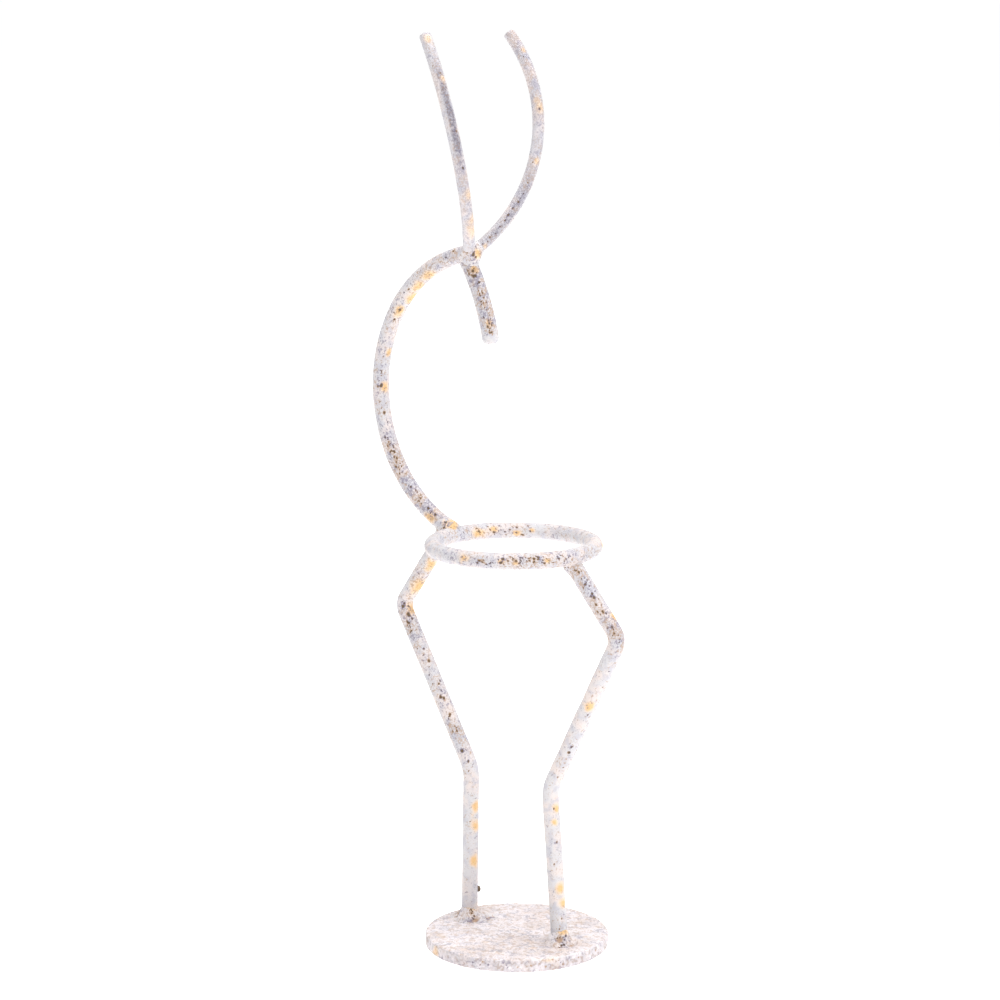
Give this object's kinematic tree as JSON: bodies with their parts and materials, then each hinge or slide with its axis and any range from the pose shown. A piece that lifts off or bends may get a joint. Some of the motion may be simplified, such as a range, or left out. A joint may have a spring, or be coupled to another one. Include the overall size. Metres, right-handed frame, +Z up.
{
  "type": "ring holder figure",
  "caption": "Standing animal figure of bent and welded rod on a round plate: two legs carry a level open ring, and a bowed neck holds a head with two curved ears",
  "frame": {"origin": "centre of the underside of the round base plate", "axes": "+Z up the figure, +X the way the snout points, +Y to the figure's left; the legs, neck and snout lie in the XZ plane"},
  "size_m": [0.1031, 0.0574, 0.2839],
  "materials": {
    "plate_paint": "thick off-white coat with a fine brushed relief, rubbed brown and grey",
    "rod_paint": "thick off-white coat, rubbed through in brown and grey specks with ochre stains",
    "ear_paint": "off-white coat, greyer and more rubbed than the body",
    "weld_paint": "off-white coat over rough weld metal, stained brown and ochre",
    "burnt_scale": "dark burnt weld spatter"
  },
  "bodies": {
    "root": {"base_plate": "plate_paint", "front_leg": "rod_paint", "rear_leg": "rod_paint", "ring": "rod_paint", "neck": "rod_paint", "snout": "rod_paint", "left_ear": "ear_paint", "right_ear": "ear_paint", "front_foot_weld": "weld_paint", "rear_foot_weld": "weld_paint", "front_ring_weld": "weld_paint", "rear_ring_weld": "weld_paint", "head_weld": "weld_paint", "spatter_bead": "burnt_scale"}
  },
  "joints": []
}
